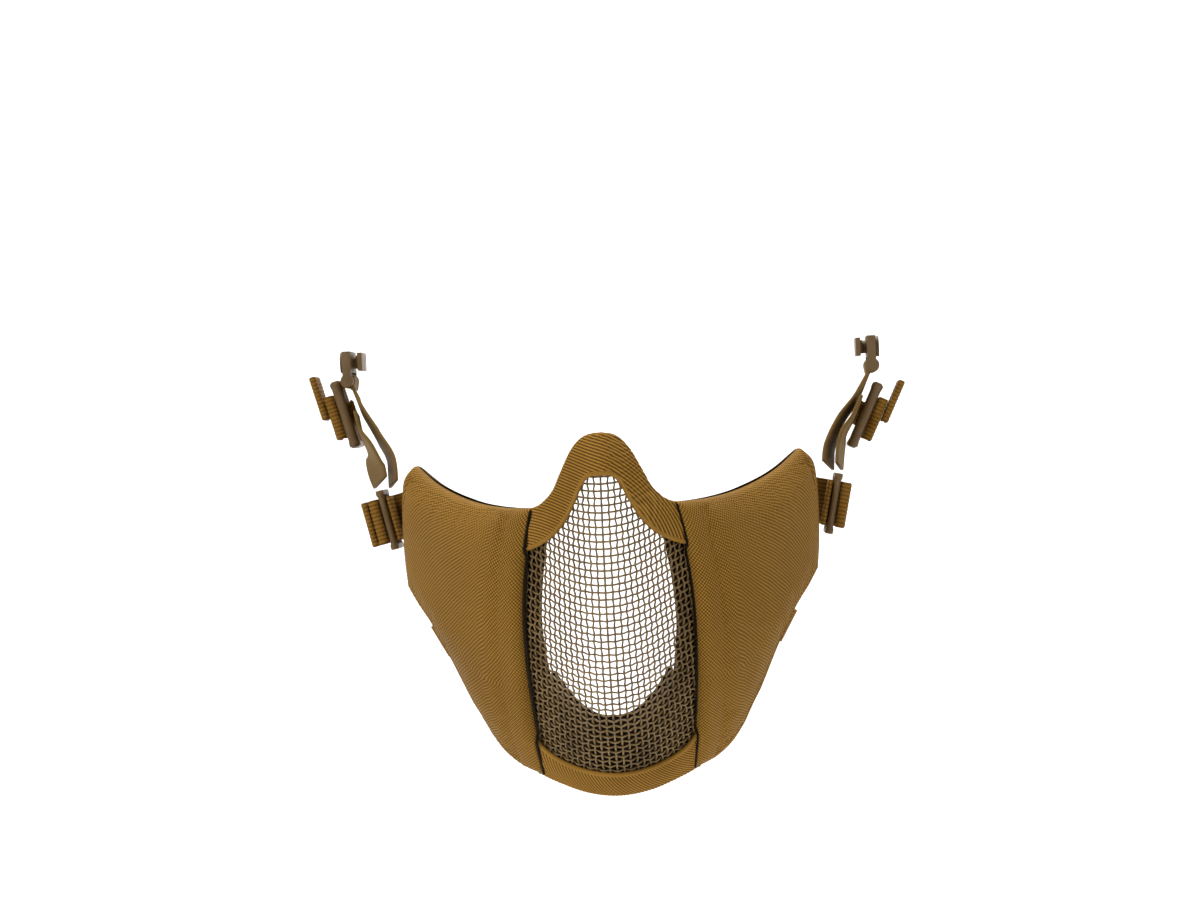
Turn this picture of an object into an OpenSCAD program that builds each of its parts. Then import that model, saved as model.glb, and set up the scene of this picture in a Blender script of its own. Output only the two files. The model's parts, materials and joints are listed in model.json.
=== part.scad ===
// Lower-face mesh mask with padded side panels and webbing straps to a helmet rail.
// +X is the wearer's left, seen on the right from the front. The front faces -Y. +Z is up.
// The origin lies midway between the rear edges of the side panels, at mouth height.

/* [Face shell] */
// Distance from the front of the mesh back to the origin
front_depth = 94; // [88:1:100]
// Sideways slope of the cheeks
cheek_slope = 1.08; // [1.00:0.01:1.15]
// Half width of the opening between the side panels, at its widest
seam_half = 30.2; // [29:0.2:31]
// How far the padding stands proud between its edges
puff = 2.4; // [1:0.1:3]

/* [Webbing and sliders] */
// Width of the webbing
web_w = 17.5; // [16:0.5:18]
// Thickness of the webbing
web_t = 1.4; // [1.2:0.1:1.6]
// Length of a slider frame along its bars, at the lower end of the strap
lower_frame_h = 23; // [22.5:0.5:24]
// The same at the upper end of the strap
upper_frame_h = 26.5; // [25:0.5:27]

/* [Hidden] */
sides = ["left", "right"];
root_nodes = ["mesh_screen", "nose_binding", "chin_binding", "chin_lining"];
side_nodes = [
    "side_cover", "side_foam", "side_lining", "anchor_webbing", "lower_tab",
    "lower_slider_frame", "lower_fold_outer", "lower_fold_inner",
    "strap_inner_ply", "strap_outer_ply", "strap_top_loop", "upper_keeper",
    "upper_slider_frame", "upper_fold", "upper_tail",
    "rail_clip_body", "rail_clip_foot", "rail_clip_button"
];

fabric = [0.50, 0.36, 0.17];
tape = [0.56, 0.42, 0.20];
webbing = [0.46, 0.34, 0.16];
plastic = [0.40, 0.30, 0.17];
wire = [0.52, 0.45, 0.32];
lining = [0.22, 0.17, 0.09];
foam = [0.30, 0.27, 0.20];

// ---- the surface of the face shell, as a depth behind its front for each x and z ----
brow_z = 20;
mouth_z = 8;
cheek_start = 34;
function sq(v) = v * v;
function centre_drop(z) = z < mouth_z ? 0.00725 * sq(mouth_z - z) : z > brow_z ? 6 * sq((z - brow_z) / 38) : 0;
function ridge_radius(z) = max(5, 9 - 0.11 * z);
function flare(z) = cheek_slope + 0.0063 * max(0, -10 - z);
function drop(x, z) = centre_drop(z) + flare(z) * (sqrt(sq(x) + sq(ridge_radius(z))) - ridge_radius(z))
    + 0.0085 * sq(max(0, abs(x) - cheek_start));
function unit(v) = v / norm(v);
step = 0.5;
function slope_x(p) = (drop(p.x + step, p.y) - drop(p.x - step, p.y)) / (2 * step);
function slope_z(p) = (drop(p.x, p.y + step) - drop(p.x, p.y - step)) / (2 * step);
function outward(p) = unit([slope_x(p), -1, slope_z(p)]);
// a point of the shell over p = [x, z], lifted outwards by o
function shell(p, o) = [p.x, drop(p.x, p.y) - front_depth, p.y] + o * outward(p);

// ---- smooth curves through a few points ----
function pick(pts, i) = pts[min(max(i, 0), len(pts) - 1)];
function spline_at(pts, u) = let (i = min(floor(u), len(pts) - 2), f = u - i,
        a = pick(pts, i - 1), b = pick(pts, i), c = pick(pts, i + 1), d = pick(pts, i + 2))
    0.5 * (2 * b + (c - a) * f + (2 * a - 5 * b + 4 * c - d) * f * f + (3 * b - a - 3 * c + d) * f * f * f);
function along(pts, t) = spline_at(pts, t * (len(pts) - 1));
function lerp(a, b, t) = a * (1 - t) + b * t;

// ---- closed solids from grids of points ----
// the two triangles of a four-sided face
function halves(q) = [[q[0], q[2], q[1]], [q[0], q[3], q[2]]];
// layer between two offsets of the shell; map(s, t) gives [x, z], lo and hi give the offsets
module layer(map, ns, nt, lo, hi) {
    w = nt + 1;
    n = (ns + 1) * w;
    uv = [for (i = [0:ns]) for (j = [0:nt]) [i / ns, j / nt]];
    pts = concat(
        [for (q = uv) shell(map(q.x, q.y), hi(q.x, q.y))],
        [for (q = uv) shell(map(q.x, q.y), lo(q.x, q.y))]);
    quads = concat(
        [for (i = [0:ns - 1]) for (j = [0:nt - 1]) let (a = i * w + j) [a, a + w, a + w + 1, a + 1]],
        [for (i = [0:ns - 1]) for (j = [0:nt - 1]) let (a = n + i * w + j) [a, a + 1, a + w + 1, a + w]],
        [for (i = [0:ns - 1]) let (a = i * w) [a, a + n, a + n + w, a + w]],
        [for (i = [0:ns - 1]) let (a = i * w + nt) [a, a + w, a + n + w, a + n]],
        [for (j = [0:nt - 1]) [j, j + 1, j + 1 + n, j + n]],
        [for (j = [0:nt - 1]) let (a = ns * w + j) [a, a + n, a + n + 1, a + 1]]);
    polyhedron(pts, [for (q = quads) each halves(q)]);
}
// tube of rings that all have the same number of points, closed by a fan at each end
module rings(loops) {
    m = len(loops[0]);
    last = (len(loops) - 1) * m;
    quads = [for (i = [0:len(loops) - 2]) for (j = [0:m - 1]) let (k = (j + 1) % m)
        [i * m + j, (i + 1) * m + j, (i + 1) * m + k, i * m + k]];
    caps = [for (j = [1:m - 2]) each [[0, j + 1, j], [last, last + j, last + j + 1]]];
    polyhedron([for (l = loops) each l], concat([for (q = quads) each halves(q)], caps));
}

// ---- outlines, seen from the front; right half, as [x, z] ----
nose_outer = [[0, 58], [5, 56.9], [9.1, 52.8], [13.3, 45], [16.6, 38.6], [21.5, 33.9], [27, 32.2], [33, 31.5]];
nose_inner = [[0, 43.3], [3.4, 42.9], [6, 40], [8.6, 34.4], [12.3, 28], [17.5, 22.4], [25, 18.4], [33, 17]];
chin_outer = [[0, -71.2], [10.7, -70], [20.5, -66.8], [27, -64], [32, -61]];
chin_inner = [[0, -62.8], [10.6, -61.4], [19.8, -57.8], [26, -53], [31, -45]];
panel_top = [[24, 33], [34, 33.2], [44.5, 35], [54, 38.4], [62.5, 43], [70.5, 49.6]];
panel_rear = [[74.6, 4.8], [75.6, 15], [76, 27], [75.8, 38], [74.6, 45], [70.5, 49.6]];
panel_low = [[25.5, -64], [33, -61], [39, -56.5], [43, -51.5], [47.5, -43], [52.5, -33], [58, -21],
    [64.5, -9.5], [70.5, -1.5], [74.6, 4.8]];
function mirror_half(half) = concat([for (i = [len(half) - 1:-1:1]) [-half[i].x, half[i].y]], half);
seam_low_z = -64;
seam_top_z = 33;
seam_mid_z = -12;
function seam_x(z) = seam_half - (z > seam_mid_z ? 0.0031 : 0.0016) * sq(z - seam_mid_z);
function seam(t, inset) = let (z = lerp(seam_low_z, seam_top_z, t)) [seam_x(z) - inset, z];

// a side panel as a patch between its four edges: s runs rearwards, t runs up
function panel(s, t, inset = 0) = let (low = panel_low, top = panel_top, rear = panel_rear)
    lerp(along(low, s), along(top, s), t) + lerp(seam(t, inset), along(rear, t), s)
    - lerp(lerp(low[0], top[0], t), lerp(rear[0], rear[len(rear) - 1], t), s);
function mound(v) = 1 - pow(abs(2 * v - 1), 4);
function plump(s, t) = mound(s) * mound(t);
cover_lift = 2.8;
cover_t = 1.2;
lining_lift = -3.6;
lining_t = 1.2;
lining_inset = 6;
foam_gap = 0.4;

module on_side(side) {
    if (side == "left") mirror([1, 0, 0]) children(); else children();
}

// ---- mesh, bindings and panels ----
screen_width = [[-67, 24], [-60, 33], [-50, 35.5], [-10, 37], [20, 35], [27, 31], [31, 23], [36, 16], [41, 12],
    [46, 9.4], [50, 7.2], [53.5, 4.5]];
screen_top = 53.5;
screen_low = [[0, -67], [12, -65.5], [24, -62], [36, -55]];
function screen_map(s, t) = let (z0 = lerp(-66, screen_top, t), x = (2 * s - 1) * lookup(z0, screen_width),
        low = along(screen_low, min(1, abs(x) / 36)).y) [x, lerp(low, screen_top, t)];
module mesh_screen() {
    color(wire) layer(function(s, t) screen_map(s, t), 28, 26, function(s, t) -0.6, function(s, t) 0.8);
}

// binding tape folded over the edge of the mesh: the section is a C seen from its end
module binding(inner, outer, n, rim_turn) {
    section = [[0, 1.1], [0, 2.3], [0.5, 2.6], [0.97, 2.3], [1.04, 0.1], [0.97, -2.1], [0.3, -2.1], [0.3, -1.0],
        [0.9, -1.0], [0.93, 0.1], [0.9, 1.1]];
    loops = [for (i = [0:n]) let (a = along(inner, i / n), b = along(outer, i / n))
        [for (q = section) shell(lerp(a, b, q.x), q.y)]];
    rings(rim_turn ? [for (l = loops) [for (i = [len(l) - 1:-1:0]) l[i]]] : loops);
}
module nose_binding() {
    color(tape) binding(mirror_half(nose_inner), mirror_half(nose_outer), 44, false);
}
module chin_binding() {
    color(tape) binding(mirror_half(chin_inner), mirror_half(chin_outer), 24, true);
}
chin_pad_top = [[0, -45.5], [10, -43.5], [18, -37], [25, -27]];
module chin_lining() {
    low = mirror_half([[0, -67.5], [10, -66.2], [19, -62.6], [26, -56]]);
    top = mirror_half(chin_pad_top);
    color(lining) layer(function(s, t) lerp(along(low, s), along(top, s), t), 14, 4,
        function(s, t) -6.7, function(s, t) -4.0 - 0.6 * (1 - mound(t)));
}

module side_cover(side) {
    lo = function(s, t) cover_lift + puff * plump(s, t);
    hi = function(s, t) lo(s, t) + cover_t;
    color(fabric) on_side(side) layer(function(s, t) panel(s, t), 18, 16, lo, hi);
}
module side_foam(side) {
    s0 = 0.22;
    at_s = function(s) lerp(s0, 0.97, s);
    at_t = function(t) lerp(0.09, 0.97, t);
    color(foam) on_side(side) layer(function(s, t) panel(at_s(s), at_t(t)), 14, 14,
        function(s, t) lining_lift + lining_t + foam_gap,
        function(s, t) cover_lift - foam_gap + puff * plump(at_s(s), at_t(t)));
}
module side_lining(side) {
    color(lining) on_side(side) layer(function(s, t) panel(s, lerp(0.02, 0.99, t), lining_inset), 18, 12,
        function(s, t) lining_lift, function(s, t) lining_lift + lining_t);
}

// ---- sliders and webbing, in the frame of a slider: x outwards, y rearwards, z along its bars ----
pin_fit = 0.06;
bar_r = 1.5;
rear_bar_y = 8.5;
front_bar_y = -9.4;
frame_t = 3.2;
rail_t = 2.2;
lower_at = [[84, 12, 29.9], [83.5, 12, 28.3]];
lower_lean = [13, 12.5];
upper_at = [[100.3, 34, 70.5], [97.5, 34, 61]];
upper_lean = [15.5, 26];
keeper_end = [[-3.3, -4.2], [-3.4, -4.2]];
function side_index(side) = side == "left" ? 0 : 1;

module at_lower(side) {
    i = side_index(side);
    on_side(side) translate(lower_at[i]) rotate([0, lower_lean[i], 0]) children();
}
module at_upper(side) {
    i = side_index(side);
    on_side(side) translate(upper_at[i]) rotate([0, upper_lean[i], 0]) children();
}
module stadium(a, b, r) {
    d = b - a;
    translate(a) circle(r, $fn = 32);
    translate(b) circle(r, $fn = 32);
    translate(a) rotate(atan2(d.y, d.x)) translate([0, -r]) square([norm(d), 2 * r]);
}
// frame of a webbing slider: two end rails joined by three round bars
module slider_frame(h, front_r) {
    for (e = [-1, 1]) translate([0, 0, e * (h - rail_t) / 2 - rail_t / 2]) linear_extrude(rail_t)
        stadium([0, front_bar_y], [0, rear_bar_y + 1], frame_t / 2);
    for (b = [[front_bar_y, front_r], [0, bar_r], [rear_bar_y, bar_r]])
        translate([0, b.x, -h / 2 + 0.2]) cylinder(h = h - 0.4, r = b.y, $fn = 48);
}
// webbing loop round the rear bar, with a leg that leads to what holds it
module bar_loop(leg, width) {
    r_in = bar_r + pin_fit;
    r_mid = r_in + web_t / 2;
    pts = concat([[-r_mid, rear_bar_y]], leg);
    translate([0, 0, -width / 2]) linear_extrude(width) difference() {
        union() {
            translate([0, rear_bar_y]) circle(r_in + web_t, $fn = 48);
            for (i = [0:len(pts) - 2]) stadium(pts[i], pts[i + 1], web_t / 2);
        }
        translate([0, rear_bar_y]) circle(r_in, $fn = 48);
    }
}
// a ply folded back on itself round a half circle at its front end, open inside
module open_fold(x0, x1, tail_y) {
    r = (x1 - x0) / 2;
    front_y = -8.2;
    translate([0, 0, -web_w / 2]) linear_extrude(web_w) difference() {
        union() {
            translate([x0 + r, front_y]) circle(r, $fn = 48);
            translate([x0, front_y]) square([2 * r, tail_y - front_y]);
        }
        translate([x0 + r, front_y]) circle(r - web_t, $fn = 48);
        translate([x0 + web_t, front_y]) square([2 * (r - web_t), tail_y - front_y + 1]);
    }
}
// two plies sewn face to face, with round ends
module flat_fold(x0, x1, y0, y1, w) {
    r = (x1 - x0) / 2;
    translate([0, 0, -w / 2]) linear_extrude(w) stadium([x0 + r, y0 + r], [x0 + r, y1 - r], r);
}

module anchor_webbing(side) {
    stub = [5, 1, 1.6];
    color(webbing) at_lower(side) {
        bar_loop([[-6.6, 2], [-13.6, -8.5], [-23, -25.1]], web_w);
        translate([-5.1, 4.2, web_w / 2]) rotate(56) translate([-stub.x / 2, -stub.y / 2, -1])
            cube([stub.x, stub.y, stub.z + 1]);
    }
}
module lower_slider_frame(side) {
    color(plastic) at_lower(side) slider_frame(lower_frame_h, 1.15);
}
module lower_fold_outer(side) {
    color(webbing) at_lower(side) open_fold(1.6, 5.6, 4.4);
}
module lower_fold_inner(side) {
    color(webbing) at_lower(side) flat_fold(-3.6, -1.7, -10.4, 2.4, web_w);
}
module lower_tail(side) {
    color(webbing) at_lower(side) flat_fold(5.8, 8.3, -9.2, 8, web_w);
}
module upper_keeper(side) {
    color(webbing) at_upper(side) bar_loop([[-3, 2], keeper_end[side_index(side)]], 10);
}
module upper_slider_frame(side) {
    color(plastic) at_upper(side) slider_frame(upper_frame_h, 1.9);
}
module upper_fold(side) {
    color(webbing) at_upper(side) open_fold(2.1, 6.2, 4.4);
}
module upper_tail(side) {
    color(webbing) at_upper(side) translate([0, 0, 9]) flat_fold(6.5, 9.2, -9.4, 8, web_w);
}

// ---- the strap: stations of x, y, z and the turn of its width from the fore-and-aft line ----
inner_path = [
    [[82.2, 15, 42.5, 14], [83, 17, 52.5, 14], [87.4, 20, 61.2, 12], [93.4, 25, 71.5, 8], [96.4, 28, 79, 3]],
    [[82.2, 15, 41.2, 14], [83.4, 17, 49.5, 14], [87.6, 20, 58.5, 12], [94.2, 25, 67.3, 8], [99, 28, 75.6, 3]]
];
outer_path = [
    [[95.6, 21, 70.5, 3], [94, 20, 63, 5], [90.6, 17, 56, 16], [89.4, 17, 49.6, 31], [86.6, 16, 44.2, 22]],
    [[95.5, 21, 66.2, 3], [92.4, 19, 60, 5], [88.8, 17, 54, 9], [87.3, 16, 48, 10], [86.5, 15, 42, 9]]
];
function place(q) = [q[0], q[1], q[2]];
function across(q) = [sin(q[3]), cos(q[3]), 0];
module ribbon(path, n) {
    st = [for (i = [0:n]) along(path, i / n)];
    loops = [for (i = [0:n]) let (q = st[i], dir = unit(place(st[min(i + 1, n)]) - place(st[max(i - 1, 0)])),
            w = across(q), h = unit(cross(w, dir)), a = w * web_w / 2,
            b = h * web_t / 2, c = w * (web_w - web_t) / 2)
        [for (v = [a, c + b, -c + b, -a, -c - b, c - b]) place(q) + v]];
    rings(loops);
}
module strap_inner_ply(side) {
    color(webbing) on_side(side) ribbon(inner_path[side_index(side)], 20);
}
module strap_outer_ply(side) {
    color(webbing) on_side(side) ribbon(outer_path[side_index(side)], 20);
}

// ---- the clip that locks the strap to a helmet rail; its bar lies at clip_at ----
clip_at = [[98.2, 28, 83.1], [100.8, 28, 79.7]];
clip_w = 23;
clip_t = 3.2;
clip_low = 3.3;
clip_top = 11.2;
clip_bar_r = 1.4;
foot_z = 7.2;
foot_r = 2.5;
foot_x = 4.0;
foot_t = 1.8;
foot_len = 18;
foot_w = 6.8;
foot_step_t = 1.3;
head_gap = 0.3;
head_t = 1.3;
head_r = 3.9;
button_y = 7.6;
button_r = 1.6;
module at_clip(side) {
    on_side(side) translate(clip_at[side_index(side)]) children();
}
module along_y(len) {
    rotate([90, 0, 0]) translate([0, 0, -len / 2]) children();
}
module along_x() {
    rotate([0, 90, 0]) children();
}
module strap_top_loop(side) {
    r_in = clip_bar_r + pin_fit;
    color(webbing) at_clip(side) along_y(web_w) linear_extrude(web_w) difference() {
        union() {
            circle(r_in + web_t, $fn = 48);
            translate([-1.7, -2.4]) rotate(22) square([1.8, 2], center = true);
        }
        circle(r_in, $fn = 48);
    }
}
module rail_clip_body(side) {
    cheek = (clip_w - web_w) / 2 - 0.4;
    color(plastic) at_clip(side) difference() {
        union() {
            along_y(clip_w) cylinder(h = clip_w, r = clip_bar_r, $fn = 48);
            for (e = [-1, 1]) translate([0, e * (clip_w - cheek) / 2, 0]) {
                along_y(cheek) cylinder(h = cheek, r = 2.4, $fn = 48);
                translate([-clip_t / 2, -cheek / 2, 0]) cube([clip_t, cheek, clip_low + 0.5]);
            }
            translate([-clip_t / 2, -clip_w / 2, clip_low]) cube([clip_t, clip_w, clip_top - clip_low]);
        }
        translate([-clip_t, 0, foot_z]) along_x()
            cylinder(h = 2 * clip_t, r = foot_r + pin_fit, $fn = 64);
        translate([-clip_t, button_y, foot_z]) along_x()
            cylinder(h = 2 * clip_t, r = button_r + pin_fit, $fn = 48);
    }
}
module rail_clip_foot(side) {
    color(plastic) at_clip(side) translate([0, 0, foot_z]) {
        translate([-foot_x, 0, 0]) along_x()
            cylinder(h = foot_x + clip_t / 2 + head_gap + 0.1, r = foot_r, $fn = 64);
        translate([clip_t / 2 + head_gap, 0, 0]) along_x() cylinder(h = head_t, r = head_r, $fn = 64);
        translate([-foot_x - foot_t / 2, 0, 0]) cube([foot_t, foot_len, foot_w], center = true);
        translate([-foot_x, 0, 0]) cube([foot_step_t, foot_len - 3, foot_w - 2], center = true);
    }
}
module rail_clip_button(side) {
    color(plastic) at_clip(side) translate([-1.0, button_y, foot_z]) along_x()
        cylinder(h = 3.8, r = button_r, $fn = 48);
}
// folded end of webbing sewn between cover and lining at the low rear edge
module lower_tab(side) {
    high = [65, -8.7];
    low = [58.6, -19.6];
    away = unit([high.y - low.y, low.x - high.x]);
    color(webbing) on_side(side) layer(function(s, t) lerp(high, low, s) + lerp(-1.2, 2.8, t) * away,
        4, 3, function(s, t) -1.2, function(s, t) 1.2);
}

mesh_screen();
nose_binding();
chin_binding();
chin_lining();
lower_tail("left");  // left_lower_tail
for (side = sides) {
    side_cover(side);
    side_foam(side);
    side_lining(side);
    anchor_webbing(side);
    lower_tab(side);
    lower_slider_frame(side);
    lower_fold_outer(side);
    lower_fold_inner(side);
    strap_inner_ply(side);
    strap_outer_ply(side);
    strap_top_loop(side);
    upper_keeper(side);
    upper_slider_frame(side);
    upper_fold(side);
    upper_tail(side);
    rail_clip_body(side);
    rail_clip_foot(side);
    rail_clip_button(side);
}
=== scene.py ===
"""Looks of the mesh face mask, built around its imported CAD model.

Lengths are millimetres up to the point where a mesh is made; +Z is up and the front of the mask faces -Y.
"""
import json
from math import atan2, ceil, cos, pi, radians, sin

import bpy
import numpy as np
from mathutils import Matrix, Vector


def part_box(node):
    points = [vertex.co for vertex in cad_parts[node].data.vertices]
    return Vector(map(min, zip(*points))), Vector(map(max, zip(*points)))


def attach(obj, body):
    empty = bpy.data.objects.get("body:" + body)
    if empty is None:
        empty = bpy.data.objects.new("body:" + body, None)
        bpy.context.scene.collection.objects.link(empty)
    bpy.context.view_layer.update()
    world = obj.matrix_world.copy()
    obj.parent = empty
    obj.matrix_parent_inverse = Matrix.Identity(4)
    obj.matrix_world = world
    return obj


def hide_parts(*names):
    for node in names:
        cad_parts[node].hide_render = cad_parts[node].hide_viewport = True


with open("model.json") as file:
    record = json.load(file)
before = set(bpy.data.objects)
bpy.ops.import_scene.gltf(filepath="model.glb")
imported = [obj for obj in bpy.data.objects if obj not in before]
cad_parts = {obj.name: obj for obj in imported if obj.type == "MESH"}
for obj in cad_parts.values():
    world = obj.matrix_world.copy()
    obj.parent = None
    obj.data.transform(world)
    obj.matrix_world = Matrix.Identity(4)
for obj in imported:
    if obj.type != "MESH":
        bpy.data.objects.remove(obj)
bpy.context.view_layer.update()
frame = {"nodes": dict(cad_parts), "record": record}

MM = 0.001
SIDES = {"left": -1, "right": 1}


# ---------------------------------------------------------------- the surface of the face shell
SCREEN_OUT = 0.8
FRONT_DEPTH = -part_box("mesh_screen")[0][1] / MM - SCREEN_OUT
MOUTH_Z = 8
MOUTH_CURVE = 0.00725
BROW_Z = 20
BROW_SPAN = 38
BROW_DROP = 6
RIDGE_WIDTH = 9
RIDGE_TAPER = 0.11
RIDGE_LEAST = 5
CHEEK_SLOPE = 1.08
CHEEK_START = 34
CHEEK_CURVE = 0.0085
JAW_Z = -10
JAW_FLARE = 0.0063


def drop(x, z):
    """Depth of the shell behind its front, for each x and z seen from the front."""
    below = MOUTH_CURVE * np.maximum(0, MOUTH_Z - z) ** 2
    above = BROW_DROP * (np.maximum(0, z - BROW_Z) / BROW_SPAN) ** 2
    ridge = np.maximum(RIDGE_LEAST, RIDGE_WIDTH - RIDGE_TAPER * z)
    flare = CHEEK_SLOPE + JAW_FLARE * np.maximum(0, JAW_Z - z)
    cheek = CHEEK_CURVE * np.maximum(0, np.abs(x) - CHEEK_START) ** 2
    return below + above + flare * (np.sqrt(x * x + ridge * ridge) - ridge) + cheek


def outward(x, z):
    """Unit vectors that point out of the shell."""
    step = 0.5
    slope_x = (drop(x + step, z) - drop(x - step, z)) / (2 * step)
    slope_z = (drop(x, z + step) - drop(x, z - step)) / (2 * step)
    return unit(np.stack([slope_x, -np.ones_like(slope_x), slope_z], -1))


def shell(x, z, lift=0.0):
    """Points of the shell over (x, z), lifted outwards."""
    x, z = np.broadcast_arrays(np.asarray(x, float), np.asarray(z, float))
    points = np.stack([x, drop(x, z) - FRONT_DEPTH, z], -1)
    return points + np.asarray(lift)[..., None] * outward(x, z)


# ---------------------------------------------------------------- curves
def along(points, t):
    """Catmull-Rom curve through the points; t runs from 0 to 1 and may be an array."""
    p = np.asarray(points, float)
    t = np.atleast_1d(np.asarray(t, float))
    u = np.clip(t, 0, 1) * (len(p) - 1)
    i = np.minimum(u.astype(int), len(p) - 2)
    f = (u - i)[:, None]
    a, b, c, d = (p[np.clip(i + k, 0, len(p) - 1)] for k in (-1, 0, 1, 2))
    bend = 2 * a - 5 * b + 4 * c - d
    twist = 3 * b - a - 3 * c + d
    return 0.5 * (2 * b + (c - a) * f + bend * f ** 2 + twist * f ** 3)


def mirror_half(half):
    """The whole outline from its half with x > 0, starting on the other side."""
    return [[-x, z] for x, z in half[:0:-1]] + half


def run(points):
    """Length along a polyline at each of its points."""
    steps = np.linalg.norm(np.diff(points, axis=0), axis=1)
    return np.concatenate([[0], np.cumsum(steps)])


def resample(points, spacing):
    """The polyline with points at even spacing."""
    points = np.asarray(points, float)
    at = run(points)
    n = max(2, int(ceil(at[-1] / spacing)) + 1)
    want = np.linspace(0, at[-1], n)
    return np.stack([np.interp(want, at, points[:, k]) for k in range(points.shape[1])], -1)


def unit(v):
    v = np.asarray(v, float)
    return v / np.linalg.norm(v, axis=-1, keepdims=True)


def smooth_step(v, lo, hi):
    t = np.clip((v - lo) / (hi - lo), 0, 1)
    return t * t * (3 - 2 * t)


# ---------------------------------------------------------------- meshes
def make_object(name, vertices, faces, uvs):
    """A smooth mesh object from millimetres; uvs holds one pair for each face corner."""
    mesh = bpy.data.meshes.new(name)
    mesh.from_pydata((np.asarray(vertices, float) * MM).tolist(), [], faces)
    mesh.validate()
    if len(mesh.loops) == len(uvs):
        layer = mesh.uv_layers.new(name="weave")
        layer.data.foreach_set("uv", np.asarray(uvs, np.float32).ravel())
    mesh.polygons.foreach_set("use_smooth", [True] * len(mesh.polygons))
    obj = bpy.data.objects.new(name, mesh)
    bpy.context.scene.collection.objects.link(obj)
    return obj


class Builder:
    """Collects grids of points into one mesh."""

    def __init__(self):
        self.vertices, self.faces, self.uvs, self.count = [], [], [], 0

    def grid(self, points, uv=None, wrap=False, flip=False, caps=False):
        """points is rows x columns x 3; with wrap the last column joins the first and uv has one more."""
        rows, cols, _ = points.shape
        base = self.count
        self.vertices.append(points.reshape(-1, 3))
        self.count += rows * cols
        across = cols if wrap else cols - 1
        i, j = np.meshgrid(np.arange(rows - 1), np.arange(across), indexing="ij")
        i, j = i.ravel(), j.ravel()
        k = (j + 1) % cols
        quads = np.stack([i * cols + j, (i + 1) * cols + j, (i + 1) * cols + k, i * cols + k], -1) + base
        if uv is None:
            uv = np.zeros((rows, across + 1, 2))
        corner = np.stack([uv[i, j], uv[i + 1, j], uv[i + 1, j + 1], uv[i, j + 1]], 1)
        if flip:
            quads, corner = quads[:, ::-1], corner[:, ::-1]
        self.faces += quads.tolist()
        self.uvs.append(corner.reshape(-1, 2))
        if caps:
            first = (np.arange(cols) + base).tolist()
            last = (np.arange(cols) + base + (rows - 1) * cols).tolist()
            self.faces += [first[::-1], last] if flip else [first, last[::-1]]
            self.uvs.append(np.repeat([[0.0, 0.0]], 2 * cols, axis=0))
        return self

    def build(self, name):
        return make_object(name, np.concatenate(self.vertices), self.faces, np.concatenate(self.uvs))


def tube(builder, path, radius, sides, up):
    """A round tube along a path; radius may change along it, and up starts each ring."""
    path = np.asarray(path, float)
    tangent = unit(np.gradient(path, axis=0))
    side = unit(np.cross(tangent, up))
    top = np.cross(side, tangent)
    a = np.arange(sides) * 2 * pi / sides
    radius = np.broadcast_to(radius, len(path))
    ring = side[:, None] * np.cos(a)[None, :, None] + top[:, None] * np.sin(a)[None, :, None]
    points = path[:, None] + ring * radius[:, None, None]
    at = run(path)
    uv = np.stack(np.meshgrid(at, np.arange(sides + 1) / sides, indexing="ij"), -1)
    builder.grid(points, uv, wrap=True, caps=True, flip=True)


# ---------------------------------------------------------------- materials
def new_material(name):
    """A material with its nodes, links and main shader."""
    material = bpy.data.materials.new(name)
    material.use_nodes = True
    nodes, links = material.node_tree.nodes, material.node_tree.links
    return material, nodes, links, nodes["Principled BSDF"]


def set_surface(shader, **values):
    """Sets constants on the shader's own sockets."""
    for key, value in values.items():
        shader.inputs[key.replace("_", " ")].default_value = value


class Graph:
    """Small helper to write shader maths in short lines."""

    def __init__(self, nodes, links):
        self.nodes, self.links = nodes, links

    def feed(self, socket, value):
        if isinstance(value, bpy.types.NodeSocket):
            self.links.new(value, socket)
        else:
            socket.default_value = value

    def math(self, operation, a, b=0.0):
        made = self.nodes.new("ShaderNodeMath")
        made.operation = operation
        self.feed(made.inputs[0], a)
        self.feed(made.inputs[1], b)
        return made.outputs[0]

    def uv(self):
        made = self.nodes.new("ShaderNodeUVMap")
        made.uv_map = "weave"
        split = self.nodes.new("ShaderNodeSeparateXYZ")
        self.links.new(made.outputs[0], split.inputs[0])
        return split.outputs[0], split.outputs[1]

    def noise(self, scale, detail=2.0, roughness=0.5):
        made = self.nodes.new("ShaderNodeTexNoise")
        made.inputs["Scale"].default_value = scale
        made.inputs["Detail"].default_value = detail
        made.inputs["Roughness"].default_value = roughness
        place = self.nodes.new("ShaderNodeTexCoord").outputs["Object"]
        self.links.new(place, made.inputs["Vector"])
        return made.outputs["Fac"]

    def blend(self, factor, low, high):
        made = self.nodes.new("ShaderNodeMix")
        made.data_type = "RGBA"
        self.feed(made.inputs["Factor"], factor)
        self.feed(made.inputs[6], low)
        self.feed(made.inputs[7], high)
        return made.outputs[2]

    def ramp(self, value, lo, hi, out_lo=0.0, out_hi=1.0):
        made = self.nodes.new("ShaderNodeMapRange")
        for key, number in (("From Min", lo), ("From Max", hi), ("To Min", out_lo), ("To Max", out_hi)):
            made.inputs[key].default_value = number
        self.feed(made.inputs["Value"], value)
        return made.outputs["Result"]

    def wave(self, value, period):
        """A sine of the value, -1 to 1."""
        return self.math("SINE", self.math("MULTIPLY", value, 2 * pi / period))

    def bump(self, height, distance, strength):
        made = self.nodes.new("ShaderNodeBump")
        made.inputs["Strength"].default_value = strength
        made.inputs["Distance"].default_value = distance
        self.links.new(height, made.inputs["Height"])
        return made.outputs[0]


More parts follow.
